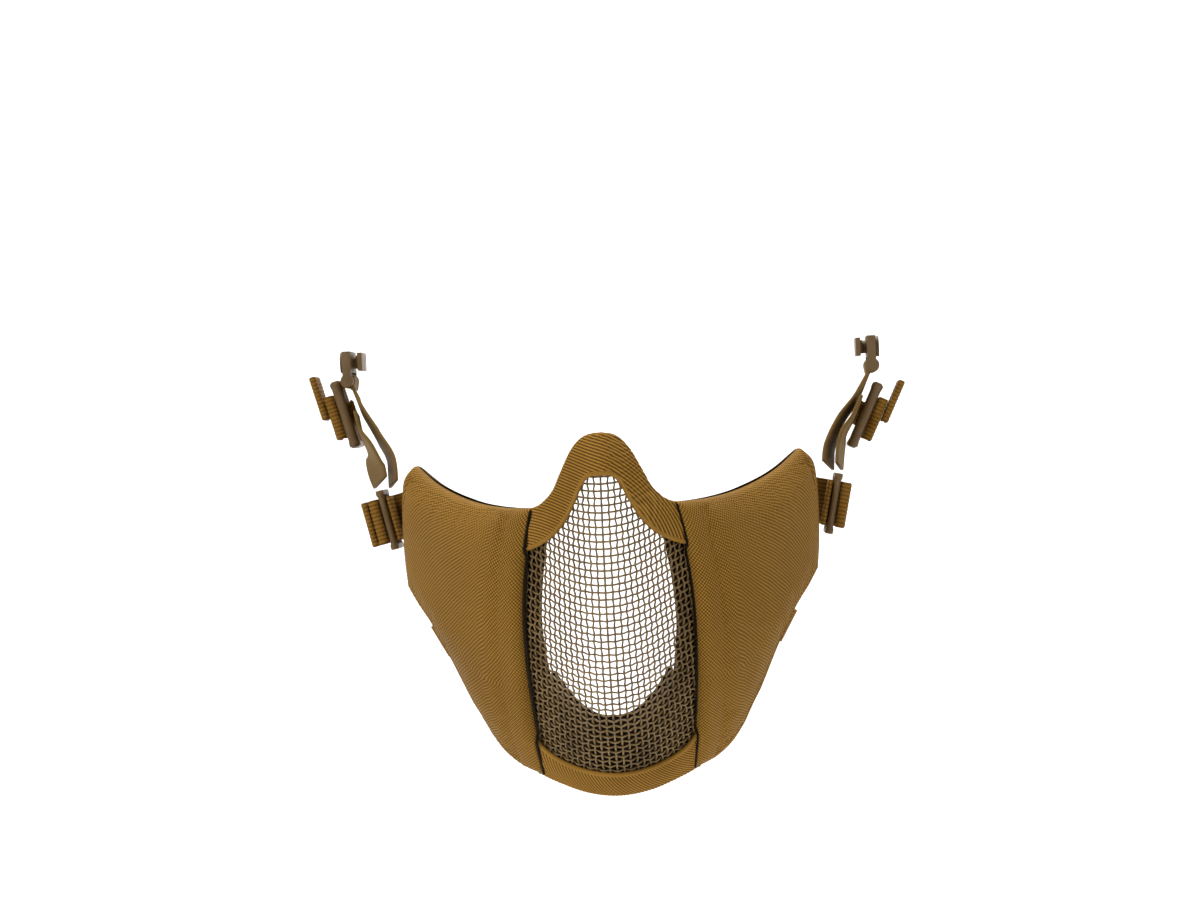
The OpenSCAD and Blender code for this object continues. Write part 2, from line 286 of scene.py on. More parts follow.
def rgb(r, g, b, gain=1.0):
    """Linear colour from a colour as seen on screen, 0 to 255."""
    def linear(v):
        v = v / 255
        return v / 12.92 if v <= 0.04045 else ((v + 0.055) / 1.055) ** 2.4
    return (linear(r) * gain, linear(g) * gain, linear(b) * gain, 1.0)


def matt_cloth(shader, sheen):
    """Low gloss with a little warm fuzz at glancing angles."""
    shader.inputs["Specular IOR Level"].default_value = 0.08
    set_surface(shader, Sheen_Weight=sheen, Sheen_Roughness=0.45, Sheen_Tint=(1, 0.78, 0.42, 1))


def woven_nylon():
    """Plain-woven coated nylon: thread crossings stand up in a chequer, finer than a millimetre, with painted
    shade between them and a painted highlight on them.
    """
    material, nodes, links, shader = new_material("woven_nylon")
    g = Graph(nodes, links)
    u, v = g.uv()
    drift = g.math("MULTIPLY", g.math("SUBTRACT", g.noise(140, 2), 0.5), 0.5)
    u, v = g.math("ADD", u, drift), g.math("ADD", v, drift)
    thread = 0.67
    over = g.math("MULTIPLY", g.wave(u, 2 * thread), g.wave(v, 2 * thread))
    fibre = g.noise(5200, 2, 0.6)
    height = g.math("ADD", g.math("MULTIPLY", over, 0.42), g.math("MULTIPLY", fibre, 0.25))
    patch = g.ramp(g.noise(28, 3), 0.3, 0.7)
    base = g.blend(patch, rgb(142, 100, 33), rgb(158, 114, 43))
    lit = g.ramp(over, -1.0, 1.0)
    # painted shade in the low threads and a painted highlight on the crossings, both following the weave's
    # height
    colour = g.blend(g.math("MULTIPLY", g.math("SUBTRACT", 1.0, lit), 0.85), base, rgb(54, 31, 5))
    painted_crown_highlight = g.math("MULTIPLY", g.math("POWER", lit, 3.0), 0.62)
    links.new(g.blend(painted_crown_highlight, colour, rgb(204, 156, 70)), shader.inputs["Base Color"])
    links.new(g.ramp(g.noise(60, 3), 0.3, 0.7, 0.62, 0.78), shader.inputs["Roughness"])
    links.new(g.bump(height, 0.00022, 0.8), shader.inputs["Normal"])
    matt_cloth(shader, 0.035)
    return material


def ribbed_tape():
    """Grosgrain binding: u counts ribs, v is the place across the tape in millimetres."""
    material, nodes, links, shader = new_material("ribbed_tape")
    g = Graph(nodes, links)
    u, v = g.uv()
    rib = g.ramp(g.wave(u, 1.0), -1, 1)
    cross = g.ramp(g.wave(v, 0.8), -1, 1)
    fibre = g.noise(5200, 2, 0.6)
    patch = g.ramp(g.noise(40, 3), 0.3, 0.7)
    base = g.blend(patch, rgb(164, 119, 44), rgb(182, 135, 58))
    # painted shade in the grooves between the ribs, and a painted highlight where ribs and cross threads
    # stand highest
    painted_groove_shade = g.math("MULTIPLY", g.math("SUBTRACT", 1.0, rib), 0.92)
    colour = g.blend(painted_groove_shade, base, rgb(66, 38, 6))
    colour = g.blend(g.math("MULTIPLY", g.math("MULTIPLY", rib, cross), 0.25), colour, rgb(198, 156, 80))
    links.new(colour, shader.inputs["Base Color"])
    height = g.math("ADD", g.math("MULTIPLY", cross, 0.25), g.math("MULTIPLY", fibre, 0.3))
    links.new(g.bump(height, 0.00015, 0.7), shader.inputs["Normal"])
    set_surface(shader, Roughness=0.74)
    matt_cloth(shader, 0.06)
    return material


def webbing():
    """Nylon webbing: u is the place across it in ribs, v the place along it in millimetres."""
    material, nodes, links, shader = new_material("webbing")
    g = Graph(nodes, links)
    u, v = g.uv()
    rib = g.ramp(g.wave(u, 1.0), -1, 1)
    weft = g.ramp(g.wave(g.math("ADD", v, g.math("MULTIPLY", g.wave(u, 2.0), 0.18)), 0.9), -1, 1)
    fibre = g.noise(4500, 2, 0.6)
    patch = g.ramp(g.noise(60, 3), 0.3, 0.7)
    base = g.blend(patch, rgb(138, 98, 34), rgb(154, 113, 46))
    # painted shade in the grooves between the ribs and between the weft threads
    painted_groove_shade = g.math("MULTIPLY", g.math("SUBTRACT", 1.0, rib), 0.6)
    colour = g.blend(painted_groove_shade, base, rgb(72, 45, 9))
    colour = g.blend(g.math("MULTIPLY", g.math("SUBTRACT", 1.0, weft), 0.22), colour, rgb(84, 55, 14))
    links.new(colour, shader.inputs["Base Color"])
    height = g.math("ADD", g.math("MULTIPLY", weft, 0.4), g.math("MULTIPLY", fibre, 0.3))
    links.new(g.bump(height, 0.00018, 0.7), shader.inputs["Normal"])
    set_surface(shader, Roughness=0.66)
    matt_cloth(shader, 0.05)
    return material


def webbing_back():
    """The smooth side of the webbing, which faces out along the strap: a fine close weave."""
    material, nodes, links, shader = new_material("webbing_back")
    g = Graph(nodes, links)
    u, v = g.uv()
    slant = g.ramp(g.wave(g.math("ADD", v, g.math("MULTIPLY", u, 1.4)), 0.7), -1, 1)
    patch = g.ramp(g.noise(60, 3), 0.3, 0.7)
    base = g.blend(patch, rgb(114, 88, 45), rgb(131, 103, 58))
    # painted shade in the hollows of the slanting weave
    painted_groove_shade = g.math("MULTIPLY", g.math("SUBTRACT", 1.0, slant), 0.3)
    links.new(g.blend(painted_groove_shade, base, rgb(84, 58, 20)), shader.inputs["Base Color"])
    fibre = g.noise(4500, 2, 0.6)
    height = g.math("ADD", g.math("MULTIPLY", slant, 0.4), g.math("MULTIPLY", fibre, 0.3))
    links.new(g.bump(height, 0.00012, 0.6), shader.inputs["Normal"])
    set_surface(shader, Roughness=0.6)
    matt_cloth(shader, 0.06)
    return material


def wire_paint():
    """Powder-coated steel wire, a little worn: lighter worn flecks scattered at random."""
    material, nodes, links, shader = new_material("wire_paint")
    g = Graph(nodes, links)
    patch = g.ramp(g.noise(70, 3), 0.35, 0.65)
    base = g.blend(patch, rgb(112, 88, 50), rgb(136, 110, 67))
    worn = g.ramp(g.noise(900, 3, 0.6), 0.62, 0.72, 0.0, 0.45)
    links.new(g.blend(worn, base, rgb(168, 143, 98)), shader.inputs["Base Color"])
    links.new(g.bump(g.noise(6000, 2), 0.00004, 0.5), shader.inputs["Normal"])
    links.new(g.ramp(g.noise(300, 2), 0.3, 0.7, 0.42, 0.6), shader.inputs["Roughness"])
    set_surface(shader, Metallic=0.15)
    return material


def brushed_lining(name="brushed_lining", gain=1.0):
    """Dark brown brushed lining with a short nap; a gain below 1 darkens it as painted shade."""
    material, nodes, links, shader = new_material(name)
    g = Graph(nodes, links)
    nap = g.noise(2600, 4, 0.7)
    patch = g.ramp(g.noise(45, 3), 0.3, 0.7)
    base = g.blend(patch, rgb(26, 16, 7, gain), rgb(38, 25, 11, gain))
    # lighter where the nap stands up: a painted highlight on the fibre tips
    nap_tip_highlight = g.ramp(nap, 0.4, 0.75, 0.0, 0.5)
    links.new(g.blend(nap_tip_highlight, base, rgb(62, 45, 23, gain)), shader.inputs["Base Color"])
    links.new(g.bump(nap, 0.0004, 0.8), shader.inputs["Normal"])
    set_surface(shader, Roughness=0.95)
    matt_cloth(shader, 0.1)
    return material


def moulded_nylon():
    """Satin moulded plastic with a fine spark texture."""
    material, nodes, links, shader = new_material("moulded_nylon")
    g = Graph(nodes, links)
    patch = g.ramp(g.noise(90, 3), 0.3, 0.7)
    base = g.blend(patch, rgb(96, 72, 38), rgb(112, 86, 48))
    scuff = g.ramp(g.noise(420, 4, 0.7), 0.62, 0.74, 0.0, 0.3)
    links.new(g.blend(scuff, base, rgb(134, 112, 78)), shader.inputs["Base Color"])
    links.new(g.bump(g.noise(3800, 2), 0.00005, 0.6), shader.inputs["Normal"])
    links.new(g.ramp(g.noise(200, 3), 0.3, 0.7, 0.40, 0.56), shader.inputs["Roughness"])
    return material


def backdrop_paint():
    material, nodes, links, shader = new_material("backdrop")
    set_surface(shader, Base_Color=(0.86, 0.86, 0.86, 1), Roughness=0.95)
    return material


MATERIALS = {
    "side_fabric": woven_nylon(),
    "binding_tape": ribbed_tape(),
    "screen_wire": wire_paint(),
    "lining": brushed_lining(),
    # a copy of the lining at 0.4 of its brightness: painted shade for the chin pad behind the screen and the
    # strips at the panels' front edges
    "painted_shade_lining": brushed_lining("painted_shade_lining", 0.4),
    "webbing": webbing(),
    "webbing_back": webbing_back(),
    "slider_plastic": moulded_nylon(),
}
MATERIALS["clip_plastic"] = MATERIALS["slider_plastic"]
MATERIALS["foam"] = MATERIALS["lining"]


def finish_piece(obj, body, slot, *nodes, look=None):
    """Gives a piece its material, its body and the CAD nodes that it stands for."""
    obj.data.materials.clear()
    obj.data.materials.append(MATERIALS[look or slot])
    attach(obj, body)
    if nodes:
        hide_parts(*nodes)
    return obj


# ---------------------------------------------------------------- woven screen
PITCH = 2.54
WIRE_R = 0.36
CRIMP = 0.36
SAMPLES_PER_PITCH = 6
SCREEN_WIDTH = [[-67, 24], [-60, 33], [-50, 35.5], [-10, 37], [20, 35], [27, 31], [31, 23], [36, 16],
                [41, 12], [46, 9.4], [50, 7.2], [53.5, 4.5]]
SCREEN_TOP = 53.0
SCREEN_LOW = [[0, -66.5], [12, -65], [24, -61.5], [36, -54.5]]
SCREEN_REACH = 56
WIRE_SIDES = 6
ROW_BEND = 17.5
ROW_CURVE = 0.0135
ROW_SLOPE = 2 * ROW_CURVE * ROW_BEND


def row_rise(x):
    """How much a level wire climbs towards the sides."""
    inner = np.minimum(np.abs(x), ROW_BEND)
    return ROW_CURVE * inner ** 2 + ROW_SLOPE * np.maximum(0, np.abs(x) - ROW_BEND)


def inside_screen(x, z):
    """Where the wires are kept: the outline of the screen, under the tapes and the panels."""
    table = np.array(SCREEN_WIDTH)
    low = np.array(SCREEN_LOW)
    wide = np.interp(z, table[:, 0], table[:, 1])
    lowest = np.interp(np.abs(x), low[:, 0], low[:, 1])
    return (np.abs(x) < wide - 0.5) & (z < SCREEN_TOP) & (z > lowest)


def screen_lattice():
    """x and z of each place on the cloth of wires, at SAMPLES_PER_PITCH steps per wire both ways."""
    zs = np.linspace(-80, 60, 1401)
    at = run(np.stack([drop(0 * zs, zs), zs], -1))
    at -= np.interp(0.0, zs, at)
    step = PITCH / SAMPLES_PER_PITCH
    rows = np.arange(int(at[0] / step), int(at[-1] / step) + 1)
    row_z = np.interp(rows * step, at, zs)
    half = int(SCREEN_REACH / step)
    ahead = 0.05
    x = np.zeros((len(rows), half + 1))
    z = np.zeros_like(x)
    z[:, 0] = row_z
    for j in range(half):
        ahead_x = x[:, j] + ahead
        rise = (row_rise(ahead_x) - row_rise(x[:, j])) / ahead
        fall = (drop(ahead_x, z[:, j] + ahead * rise) - drop(x[:, j], z[:, j])) / ahead
        advance = step / np.sqrt(1 + rise ** 2 + fall ** 2)
        x[:, j + 1] = x[:, j] + advance
        z[:, j + 1] = row_z + row_rise(x[:, j + 1])
    full_x = np.concatenate([-x[:, :0:-1], x], axis=1)
    full_z = np.concatenate([z[:, :0:-1], z], axis=1)
    cols = np.arange(-half, half + 1)
    return rows, cols, full_x, full_z


def stretches(keep, shortest):
    """Slices of the unbroken stretches of a mask that hold at least so many places."""
    edges = np.flatnonzero(np.diff(np.concatenate([[0], keep.astype(int), [0]])))
    return [slice(a, b) for a, b in zip(edges[::2], edges[1::2]) if b - a >= shortest]


def woven_screen():
    rows, cols, x, z = screen_lattice()
    n = SAMPLES_PER_PITCH
    up, level = Builder(), Builder()
    wave_row = np.cos(pi * rows / n)
    wave_col = np.cos(pi * cols / n)
    for j in np.flatnonzero(cols % n == 0):
        side = 1 if (cols[j] // n) % 2 == 0 else -1
        path = shell(x[:, j], z[:, j], CRIMP * side * wave_row)
        out = outward(x[:, j], z[:, j])
        for part in stretches(inside_screen(x[:, j], z[:, j]), n):
            tube(up, path[part], WIRE_R, WIRE_SIDES, out[part])
    for i in np.flatnonzero(rows % n == 0):
        side = -1 if (rows[i] // n) % 2 == 0 else 1
        path = shell(x[i], z[i], CRIMP * side * wave_col)
        out = outward(x[i], z[i])
        for part in stretches(inside_screen(x[i], z[i]), n):
            tube(level, path[part], WIRE_R, WIRE_SIDES, out[part])
    finish_piece(up.build("screen_upright_wires"), "root", "screen_wire", "mesh_screen")
    finish_piece(level.build("screen_level_wires"), "root", "screen_wire")


# ---------------------------------------------------------------- binding tapes
NOSE_OUTER = [[0, 58], [5, 56.9], [9.1, 52.8], [13.3, 45], [16.6, 38.6], [21.5, 33.9], [27, 32.2],
              [33, 31.5]]
NOSE_INNER = [[0, 43.3], [3.4, 42.9], [6, 40], [8.6, 34.4], [12.3, 28], [17.5, 22.4], [25, 18.4], [33, 17]]
CHIN_OUTER = [[0, -71.2], [10.7, -70], [20.5, -66.8], [27, -64], [32, -61]]
CHIN_INNER = [[0, -62.8], [10.6, -61.4], [19.8, -57.8], [26, -53], [31, -45]]
RIB_DEPTH = 0.24
NOSE_RIB_CENTRE, NOSE_RIB_PITCH = (-29.2, 0.5), 1.02
CHIN_RIB_CENTRE, CHIN_RIB_PITCH = (30, -40), 0.85
TAPE_STATIONS = 900


def binding(name, node, inner_half, outer_half, rib_centre, rib_pitch, flip):
    """Tape folded over the edge of the screen; its ribs are arcs about rib_centre, as on bias-cut tape."""
    t = np.linspace(0, 1, TAPE_STATIONS)
    inner, outer = along(mirror_half(inner_half), t), along(mirror_half(outer_half), t)
    # each point of the section: place across the tape, lift, and how strongly the ribs show there
    front = [[0.0, 0.9, 0], [-0.012, 1.5, 0], [0.006, 2.05, 0], [0.03, 2.36, 0], [0.06, 2.4, 0],
             [0.085, 2.22, 0.1], [0.1, 2.14, 0.6]]
    face = [[0.1 + 0.82 * k / 14, 2.14 + 0.48 * sin(pi * k / 15), 1] for k in range(1, 15)]
    edge = [[0.955, 2.15, 0.9], [0.985, 1.75, 0.8], [1.02, 1.1, 0.6], [1.035, 0.2, 0.4], [1.02, -0.8, 0.4],
            [0.985, -1.5, 0.5], [0.93, -1.95, 0.8]]
    back = [[0.88 - 0.55 * k / 8, -2.1, 0.9] for k in range(9)]
    inside = [[0.31, -1.7, 0], [0.33, -1.1, 0], [0.6, -0.95, 0], [0.88, -0.9, 0], [0.92, 0.1, 0],
              [0.88, 0.85, 0], [0.6, 0.9, 0], [0.3, 0.9, 0]]
    section = np.array(front + face + edge + back + inside)
    q, lift, show = section[:, 0], section[:, 1], section[:, 2]
    x = inner[:, None, 0] + (outer - inner)[:, None, 0] * q
    z = inner[:, None, 1] + (outer - inner)[:, None, 1] * q
    wide = np.linalg.norm(outer - inner, axis=1)[:, None]
    away = np.stack([x - rib_centre[0], z - rib_centre[1]], -1)
    phase = np.linalg.norm(away, axis=2) / rib_pitch
    # past the face the ribs run on straight, as they do on flat tape that is folded over an edge
    last = len(front + face) - 1
    slope = (unit(away[:, last]) * unit(outer - inner)).sum(1)[:, None]
    steps = np.hypot(np.diff(q)[None] * wide, np.diff(lift)[None])
    phase[:, last + 1:] = phase[:, last:last + 1] + slope * np.cumsum(steps[:, last:], axis=1) / rib_pitch
    level = np.sign(lift) * RIB_DEPTH * show * np.sin(2 * pi * phase)
    points = shell(x, z, lift + level)
    uv = np.stack([np.where(show > 0.05, phase, 0.04), wide * q], -1)
    uv = np.concatenate([uv, uv[:, :1]], axis=1)
    made = Builder().grid(points, uv, wrap=True, caps=True, flip=flip).build(name)
    finish_piece(made, "root", "binding_tape", node)


# ---------------------------------------------------------------- padded side panels
PANEL_TOP = [[24, 33], [34, 33.2], [44.5, 35], [54, 38.4], [62.5, 43], [70.5, 49.6]]
PANEL_REAR = [[74.6, 4.8], [75.6, 15], [76, 27], [75.8, 38], [74.6, 45], [70.5, 49.6]]
PANEL_LOW = [[25.5, -64], [33, -61], [39, -56.5], [43, -51.5], [47.5, -43], [52.5, -33], [58, -21],
             [64.5, -9.5], [70.5, -1.5], [74.6, 4.8]]
SEAM_HALF = 30.2
SEAM_BEND_ABOVE = 0.0031
SEAM_BEND_BELOW = 0.0016
SEAM_LOW_Z = -64
SEAM_TOP_Z = 33
SEAM_MID_Z = -12
COVER_LIFT = 4.0
BACK_LIFT = -3.6
PAD_MID = (COVER_LIFT + BACK_LIFT) / 2
PAD_HALF = COVER_LIFT - PAD_MID
PUFF = 2.4
HEM = 6.0
HEM_DEPTH = 0.3
HEM_GROOVE = 0.45
SWELL_CAP = 1.0
LINING_INSET_TOP = 4.4
LINING_INSET_LOW = 6.6
EDGE_WIDTH = {"left": 1.5, "right": 0.9}


def seam(t, inset=0.0):
    """[x, z] along the front edge of a panel, from low to high."""
    z = SEAM_LOW_Z + (SEAM_TOP_Z - SEAM_LOW_Z) * t
    bend = np.where(z > SEAM_MID_Z, SEAM_BEND_ABOVE, SEAM_BEND_BELOW)
    return np.stack([SEAM_HALF - bend * (z - SEAM_MID_Z) ** 2 - inset, z], -1)


def panel(s, t, inset=0.0):
    """[x, z] over a side panel: s runs rearwards and t up; both are one-dimensional arrays."""
    low, top = along(PANEL_LOW, s), along(PANEL_TOP, s)
    rear, front = along(PANEL_REAR, t), seam(t, inset)
    s, t = s[:, None, None], t[None, :, None]
    corners = (1 - t) * (1 - s) * low[0] + t * (1 - s) * top[0] + (1 - t) * s * rear[0] + t * s * rear[-1]
    return low[:, None] * (1 - t) + top[:, None] * t + front[None] * (1 - s) + rear[None] * s - corners


def mound(v):
    """1 in the middle and 0 at both ends, flat between."""
    return 1 - np.abs(2 * v - 1) ** 4


def fine_ends(n):
    """Numbers from 0 to 1 that crowd towards both ends."""
    v = np.linspace(-1, 1, n)
    return 0.5 + 0.5 * np.sign(v) * (1 - (1 - np.abs(v)) ** 1.5)


def edge_distance(grid):
    """How far each place of the patch is from its top, rear and low edges, and from its front edge."""
    edges = np.concatenate([grid[:, 0], grid[:, -1], grid[-1]])
    flat = grid.reshape(-1, 2)
    away = np.linalg.norm(flat[:, None] - edges[None], axis=2).min(axis=1)
    ahead = np.linalg.norm(flat[:, None] - grid[0][None], axis=2).min(axis=1)
    return away.reshape(grid.shape[:2]), ahead.reshape(grid.shape[:2])


def round_off(distance, radius):
    """0 at an edge, rising along a quarter circle to 1."""
    v = np.clip(1 - distance / radius, 0, 1)
    return np.sqrt(1 - v * v)


def arc_uv(points):
    """Lengths along and across a grid, in millimetres, so that a weave keeps its scale."""
    mid_col, mid_row = points.shape[1] // 2, points.shape[0] // 2
    u = np.concatenate([np.zeros((1, points.shape[1])),
                        np.cumsum(np.linalg.norm(np.diff(points, axis=0), axis=2), axis=0)])
    v = np.concatenate([np.zeros((points.shape[0], 1)),
                        np.cumsum(np.linalg.norm(np.diff(points, axis=1), axis=2), axis=1)], axis=1)
    u = u - u[mid_row:mid_row + 1] + u[mid_row, mid_col]
    v = v - v[:, mid_col:mid_col + 1]
    return np.stack([u, v], -1)


def seam_ground(z):
    """How high the tapes and the screen stand under the front edge of a panel."""
    over_nose = smooth_step(z, 15.0, 18.2)
    over_chin = 1 - smooth_step(z, -51.5, -47.5)
    return 0.95 + 1.8 * np.maximum(over_nose, over_chin)


def shadow_edge_strip(side):
    """A dark strip along the front edge of a panel, shaped as the lining turned out between the cover and
    what lies below; its near-black colour is painted shade for the shadow gap at the cover's edge.
    """
    t = np.linspace(0.012, 0.988, 200)
    line = seam(t)
    turn = np.linspace(0, pi, 9)
    wide = EDGE_WIDTH[side] * (0.55 + 0.45 * np.sin(pi * t))
    # a half round that stands out in front of the seam, then a flat foot that runs in under the cover
    roll = -wide[:, None] * (0.5 + 0.5 * np.cos(turn))[None]
    foot = np.tile([0.8, 1.6], (len(t), 1))
    across = np.concatenate([roll, foot], axis=1)
    rise = np.concatenate([0.4 * np.sin(turn), [0.1, 0.1]])
    x = line[:, 0:1] + across
    z = np.repeat(line[:, 1:2], across.shape[1], axis=1)
    points = shell(x, z, seam_ground(z) + rise[None])
    uv = arc_uv(points)
    points[..., 0] *= SIDES[side]
    made = Builder().grid(points, uv, flip=side == "left").build(side + "_shadow_edge_roll")
    # near-black painted shade for the gap under the cover's front edge
    finish_piece(made, "root", "lining", look="painted_shade_lining")


def swell(cover, pinned, cap):
    """Lets a sewn cover puff and pucker between its seams, as cloth simulated at a larger scale.

    pinned holds a weight for each vertex, 1 where the cover is sewn down; no point moves further than cap.
    """
    grow = 20.0
    frames = 20
    scene = bpy.context.scene
    trial = bpy.data.objects.new(cover.name + "_trial", cover.data.copy())
    scene.collection.objects.link(trial)
    start = np.empty(len(trial.data.vertices) * 3)
    trial.data.vertices.foreach_get("co", start)
    trial.data.vertices.foreach_set("co", start * grow)
    group = trial.vertex_groups.new(name="sewn")
    for index, weight in enumerate(pinned.ravel()):
        if weight > 0:
            group.add([index], float(weight), "REPLACE")
    cloth = trial.modifiers.new("cloth", "CLOTH")
    settings = cloth.settings
    settings.quality = 5
    settings.mass = 0.3
    settings.tension_stiffness = settings.compression_stiffness = 12
    settings.bending_stiffness = 0.4
    settings.vertex_group_mass = "sewn"
    settings.pin_stiffness = 1.0
    settings.use_pressure = True
    settings.uniform_pressure_force = 2.5
    settings.shrink_min = -0.035
    settings.effector_weights.gravity = 0
    for number in range(1, frames + 1):
        scene.frame_set(number)
    settled = trial.evaluated_get(bpy.context.evaluated_depsgraph_get()).to_mesh()
    end = np.empty_like(start)
    settled.vertices.foreach_get("co", end)
    move = (end / grow - start).reshape(-1, 3) / MM
    length = np.linalg.norm(move, axis=1, keepdims=True)
    move *= np.tanh(length / cap) * cap / np.maximum(length, 1e-9)
    cover.data.vertices.foreach_set("co", (start.reshape(-1, 3) + move * MM).ravel())
    cover.data.update()
    bpy.data.objects.remove(trial)
    scene.frame_set(1)


def side_cover(side):
    """The outer fabric of a panel over its foam: rounded rims, a swollen middle and a hemmed front."""
    sign = SIDES[side]
    s, t = fine_ends(92), fine_ends(92)
    grid = panel(s, t)
    away, ahead = edge_distance(grid)
    plump = mound(s)[:, None] * mound(t)[None]
    lift = PAD_MID + PAD_HALF * round_off(away, 3.6) + PUFF * plump * smooth_step(away, 0, 9)
    fold_low = seam_ground(grid[..., 1]) + 0.15
    lift = np.minimum(lift, fold_low + (lift - fold_low) * round_off(ahead, 2.0))
    hem_band = (1 - smooth_step(ahead, HEM - 0.7, HEM + 0.7)) * smooth_step(ahead, 0.5, 2.5)
    lift += HEM_DEPTH * hem_band * smooth_step(away, 2, 5)
    lift -= HEM_DEPTH * np.exp(-((ahead - HEM) / HEM_GROOVE) ** 2) * smooth_step(away, 1, 4)
    points = shell(grid[..., 0], grid[..., 1], lift)
    uv = arc_uv(points)
    points[..., 0] *= sign
    cover = Builder().grid(points, uv, flip=sign < 0).build(side + "_cover")
    sewn = np.maximum(1 - smooth_step(away, 0.8, 4.5), 1 - smooth_step(ahead, 5.6, 9.0))
    swell(cover, sewn, SWELL_CAP)
    finish_piece(cover, "root", "side_fabric", side + "_side_cover", side + "_side_foam")


def side_lining(side):
    """The lining on the wearer's side of a panel; at the front it lies further back than the cover's edge."""
    sign = SIDES[side]
    s, t = fine_ends(64), fine_ends(64)
    low_down = 1 - smooth_step(t, 0.25, 0.6)
    grid = panel(s, t, LINING_INSET_TOP + (LINING_INSET_LOW - LINING_INSET_TOP) * low_down)
    away, ahead = edge_distance(grid)
    plump = mound(s)[:, None] * mound(t)[None]
    depth = PAD_MID - PAD_HALF * round_off(away, 3.4) - 0.9 * plump * smooth_step(ahead, 5, 14)
    depth = np.where(ahead < 2, np.maximum(depth, -2.6 - 1.0 * round_off(ahead, 2.0)), depth)
    points = shell(grid[..., 0], grid[..., 1], depth)
    uv = arc_uv(points)
    points[..., 0] *= sign
    lining = Builder().grid(points, uv, flip=sign > 0).build(side + "_lining")
    finish_piece(lining, "root", "lining", side + "_side_lining")


# ---------------------------------------------------------------- chin lining
CHIN_PAD_TOP = [[0, -45.5], [10, -43.5], [18, -37], [25, -27]]
CHIN_PAD_LOW = [[0, -69], [10, -67.8], [19, -64.6], [26, -58.5]]


PAD_DEPTH = -5.35
PAD_FRONT = 1.2
PAD_BACK = 1.3
PAD_LENGTH = 55


def chin_lining():
    """A soft pad behind the lower part of the screen."""
    s, t = np.linspace(0, 1, 72), fine_ends(26)
    low, top = along(mirror_half(CHIN_PAD_LOW), s), along(mirror_half(CHIN_PAD_TOP), s)
    grid = low[:, None] * (1 - t)[None, :, None] + top[:, None] * t[None, :, None]
    tall = np.linalg.norm(top - low, axis=1)[:, None]
    edge = np.minimum(np.minimum(t, 1 - t)[None] * tall, np.minimum(s, 1 - s)[:, None] * PAD_LENGTH)
    body = round_off(edge, 1.4)
    front = shell(grid[..., 0], grid[..., 1], PAD_DEPTH + PAD_FRONT * body)
    back = shell(grid[..., 0], grid[..., 1], PAD_DEPTH - PAD_BACK * body)
    made = Builder()
    made.grid(front, arc_uv(front))
    made.grid(back, arc_uv(back), flip=True)
    # the chin pad takes the darker copy of the lining: painted shade for the shadow behind the screen
    finish_piece(made.build("chin_pad"), "root", "lining", "chin_lining", look="painted_shade_lining")


# ---------------------------------------------------------------- webbing
WEB_W = 17.5
WEB_T = 1.4
RIBS = 11
RIB_GROOVE = 0.16
SMOOTH_GROOVE = 0.04
PATH_STEP = 0.45
BAR_R = 1.5
PIN_FIT = 0.06
REAR_BAR_Y = 8.5
FRONT_BAR_Y = -9.4
LOWER_AT = {"left": [84, 12, 29.9], "right": [83.5, 12, 28.3]}
LOWER_LEAN = {"left": 13, "right": 12.5}
UPPER_AT = {"left": [100.3, 34, 70.5], "right": [97.5, 34, 61]}
UPPER_LEAN = {"left": 15.5, "right": 26}
KEEPER_END = {"left": [-3.3, -4.2], "right": [-3.4, -4.2]}


class Local:
    """A slider's own frame: x outwards, y rearwards, z along its bars."""

    def __init__(self, side, at, lean):
        self.sign = SIDES[side]
        self.at = np.asarray(at, float)
        a = radians(lean)
        self.x = np.array([cos(a), 0, -sin(a)])
        self.y = np.array([0, 1.0, 0])
        self.z = np.array([sin(a), 0, cos(a)])

    def point(self, p):
        p = np.asarray(p, float)
        out = self.at + p[..., 0:1] * self.x + p[..., 1:2] * self.y + p[..., 2:3] * self.z
        out[..., 0] *= self.sign
        return out


def lower_frame(side):
    return Local(side, LOWER_AT[side], LOWER_LEAN[side])


def upper_frame(side):
    return Local(side, UPPER_AT[side], UPPER_LEAN[side])


def strip_section(width, thick, ribs, depth):
    """Outline of webbing across its width, ribbed with round selvedges: across, lift and rib number."""
    per_rib = 6
    inner = width - thick
    a = np.linspace(-inner / 2, inner / 2, ribs * per_rib + 1)
    rib_no = (a + inner / 2) / inner * ribs
    lift = thick / 2 - depth * (0.5 + 0.5 * np.cos(2 * pi * rib_no))
    top = np.stack([a, lift, rib_no - 0.25], -1)
    turn = np.linspace(pi / 2, -pi / 2, 7)[1:-1]
    edge_r = thick / 2 - depth
    right = np.stack([inner / 2 + edge_r * np.cos(turn), edge_r * np.sin(turn), ribs - 0.25 + 0 * turn], -1)
    bottom = top[::-1] * [1, -1, 1]
    left = right[::-1] * [-1, 1, 1]
    left[:, 2] = -0.25
    return np.concatenate([top, right, bottom, left])


def strip(builder, path, across, flip, width=WEB_W, thick=WEB_T, ribs=RIBS, depth=RIB_GROOVE):
    """Webbing along a path of points; across is the direction of its width at each point."""
    path = np.asarray(path, float)
    across = np.broadcast_to(np.asarray(across, float), path.shape)
    tangent = unit(np.gradient(path, axis=0))
    across = unit(across - (across * tangent).sum(1, keepdims=True) * tangent)
    normal = np.cross(across, tangent)
    section = strip_section(width, thick, ribs, depth)
    points = path[:, None] + across[:, None] * section[None, :, 0:1]
    points = points + normal[:, None] * section[None, :, 1:2]
    at = run(path)
    uv = np.stack(np.broadcast_arrays(section[None, :, 2], at[:, None]), -1)
    uv = np.concatenate([uv, uv[:, :1]], axis=1)
    builder.grid(points, uv, wrap=True, caps=True, flip=flip)


